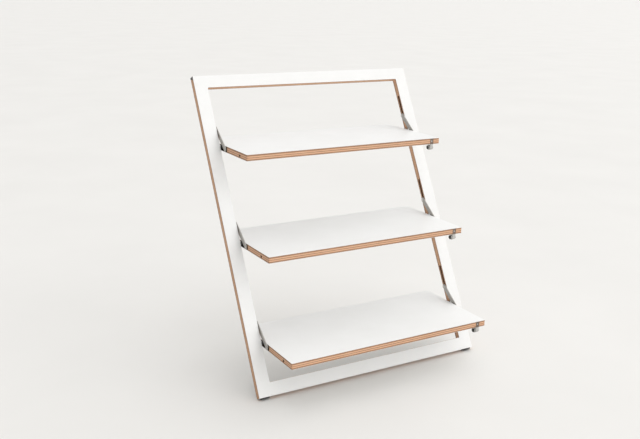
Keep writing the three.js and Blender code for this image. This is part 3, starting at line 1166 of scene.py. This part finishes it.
def dress_shelf(level, firsts):
    body = f"shelf_{level}"
    pivot = PIVOTS[body]
    panel = put(copy_of(firsts["shelf"], f"shelf_panel_{level}"), move=pivot)
    smooth(panel, BOARD_SMOOTH)
    flatten(panel)
    face = laminate(f"{level}_laminate", LEVELS.index(level) + 1.0)
    edge = ply_edge(f"{level}_edge", pivot, 0.0, through=2)
    fit(panel, body, body, "shelf_board", face, edge, HOLE_PAINTED_SHADE)

    corner = pivot + Vector((SHELF_WIDTH / 2 - STRAP_FROM_END, SHELF_FRONT, 0))
    for part, finishes in (
        ("strap", (STRAP_STEEL, STRAP_STEEL_PAINTED_SHADE)),
        ("barrel", (TURNED_STEEL,)),
        # The core's black plastic stands in for the shade inside the barrel: painted shade.
        ("core", (BLACK_PLASTIC,)),
    ):
        piece = put(copy_of(firsts[f"grip_{part}"], f"grip_{part}_piece_{level}"), move=corner)
        fit(piece, body, f"grip_{part}_{level}", f"grip_{part}", *finishes)
    screw = put(copy_of(firsts["strap_screw"], f"strap_screw_{level}"), move=corner)
    add(screw, body, "grip_strap", TURNED_STEEL)


def dress_end(level, side_name, firsts):
    side = SIDES[side_name]
    left = side < 0
    tag = f"{level}_{side_name}"
    body = f"shelf_{level}"
    end = PIVOTS[body] + Vector((side * SHELF_WIDTH / 2, 0, 0))
    stay_foot = end + Vector((0, -STAY_REACH, 0))

    plate = put(copy_of(firsts["side_plate"], f"end_plate_{tag}"), mirrored=left, move=end)
    fit(plate, body, f"side_plate_{tag}", "side_plate", BLACK_PAINT)
    for number, share in enumerate(PLATE_SCREWS):
        screw = copy_of(firsts["plate_screw"], f"plate_screw_{tag}_{number}")
        put(screw, mirrored=left, move=end + Vector((0, -share * STAY_REACH, 0)))
        add(screw, body, "side_plate", TURNED_STEEL)
    pin = put(copy_of(firsts["pivot_pin"], f"hinge_pin_{tag}"), mirrored=left, move=end)
    fit(pin, body, f"pivot_pin_{tag}", "pivot_pin", TURNED_STEEL)
    rivet = copy_of(firsts["stay_foot_rivet"], f"lower_rivet_{tag}")
    put(rivet, mirrored=left, move=stay_foot)
    fit(rivet, body, f"stay_foot_rivet_{tag}", "stay_foot_rivet", TURNED_STEEL)

    stay = f"stay_{tag}"
    arm = copy_of(firsts["stay_arm"], f"stay_bar_{tag}")
    put(arm, turn_x=-STAY_LEAN, mirrored=left, move=stay_foot)
    fit(arm, stay, f"stay_arm_{tag}", "stay_arm", STAY_STEEL)
    rivet = copy_of(firsts["stay_head_rivet"], f"upper_rivet_{tag}")
    put(rivet, turn_x=-STAY_LEAN, mirrored=left, move=stay_foot)
    fit(rivet, stay, f"stay_head_rivet_{tag}", "stay_head_rivet", TURNED_STEEL)

    bush = put(copy_of(firsts["pivot_bush"], f"hinge_bush_{tag}"), mirrored=left, move=end)
    fit(bush, "frame", f"pivot_bush_{tag}", "pivot_bush", BLACK_PLASTIC)
    shoe = put(copy_of(firsts["slide_shoe"], f"slot_shoe_{tag}"), mirrored=left)
    put(shoe, move=(0, 0, SHOE_OPEN))
    put(shoe, turn_x=-LEAN, move=end)
    fit(shoe, f"shoe_{tag}", f"slide_shoe_{tag}", "slide_shoe", BLACK_PLASTIC)


def dress():
    dress_frame()
    makers = {
        "shelf": shelf_panel,
        "grip_strap": grip_strap,
        "grip_barrel": grip_barrel,
        "grip_core": grip_core,
        "strap_screw": strap_screw,
        "side_plate": side_plate,
        "plate_screw": plate_screw,
        "pivot_pin": pivot_pin,
        "stay_foot_rivet": stay_foot_rivet,
        "stay_arm": stay_arm,
        "stay_head_rivet": stay_head_rivet,
        "pivot_bush": pivot_bush,
        "slide_shoe": slide_shoe,
    }
    firsts = {name: make() for name, make in makers.items()}
    for level in LEVELS:
        dress_shelf(level, firsts)
        for side_name in SIDES:
            dress_end(level, side_name, firsts)
    for first in firsts.values():
        bpy.data.objects.remove(first)


# ---- Studio ----
CAMERA_PLACE = Vector((-1.4148, -2.2383, 1.1948))
CAMERA_YAW = math.radians(30.54)
CAMERA_PITCH = math.radians(-15.6)
CAMERA_ROLL = math.radians(1.25)
FOCAL_PIXELS = 858.9
IMAGE_WIDTH = 640
SENSOR = 36.0
CLIP_END = 500

SKY_STRENGTH = 0.62
SKY_FROM_RIGHT = 0.28
SKY_FROM_ABOVE = 0.2
WARM_WHITE = (1.0, 0.995, 0.985)
FLOOR_SIZE = 160


def add_camera():
    data = bpy.data.cameras.new("camera")
    data.sensor_fit = "HORIZONTAL"
    data.sensor_width = SENSOR
    data.lens = FOCAL_PIXELS / IMAGE_WIDTH * SENSOR
    data.clip_end = CLIP_END
    camera = bpy.data.objects.new("camera", data)
    bpy.context.scene.collection.objects.link(camera)
    forward = Vector((
        math.sin(CAMERA_YAW) * math.cos(CAMERA_PITCH),
        math.cos(CAMERA_YAW) * math.cos(CAMERA_PITCH),
        math.sin(CAMERA_PITCH),
    ))
    level_right = Vector((math.cos(CAMERA_YAW), -math.sin(CAMERA_YAW), 0))
    level_up = level_right.cross(forward)
    right = level_right * math.cos(CAMERA_ROLL) + level_up * math.sin(CAMERA_ROLL)
    up = level_up * math.cos(CAMERA_ROLL) - level_right * math.sin(CAMERA_ROLL)
    turn = Matrix((right, up, -forward)).transposed().to_4x4()
    camera.matrix_world = Matrix.Translation(CAMERA_PLACE) @ turn
    bpy.context.scene.camera = camera


def add_light(name, azimuth, height, spread, strength):
    """Soft light from far off. azimuth is measured from the front towards +X, all in degrees."""
    data = bpy.data.lights.new(name, "SUN")
    data.angle = math.radians(spread)
    data.energy = strength
    data.color = WARM_WHITE
    light = bpy.data.objects.new(name, data)
    bpy.context.scene.collection.objects.link(light)
    around = math.radians(azimuth)
    up = math.radians(height)
    towards = Vector((
        math.sin(around) * math.cos(up), -math.cos(around) * math.cos(up), math.sin(up)
    ))
    light.matrix_world = towards.to_track_quat("Z", "Y").to_matrix().to_4x4()


def studio_sky():
    """A little brighter on the right and above."""
    sky = Sky("studio")
    across, _, up = sky.around()
    strength = SKY_STRENGTH + across * SKY_FROM_RIGHT + up * SKY_FROM_ABOVE
    return sky.set(color=(1.0, 0.997, 0.99, 1.0), strength=strength)


def floor_finish():
    finish = Finish("floor_paint")
    where = finish.place()
    cloud = finish.noise(where, 1.6, detail=3.0)
    return finish.set(
        base_color=finish.mix(cloud.spread(0.3, 0.7), (0.765, 0.755, 0.735), (0.79, 0.78, 0.76)),
        roughness=0.6,
    )


def add_studio():
    begin()
    bpy.ops.mesh.primitive_plane_add(size=FLOOR_SIZE, location=(0, 0, 0))
    floor = bpy.context.object
    floor.name = "studio_floor"
    floor.data.materials.append(floor_finish())
    bpy.context.scene.world = studio_sky()
    add_light("ceiling", azimuth=60, height=55, spread=120, strength=1.3)
    add_light("window", azimuth=50, height=15, spread=60, strength=0.5)
    bpy.context.scene.view_settings.view_transform = "Standard"


dress()
add_camera()
add_studio()
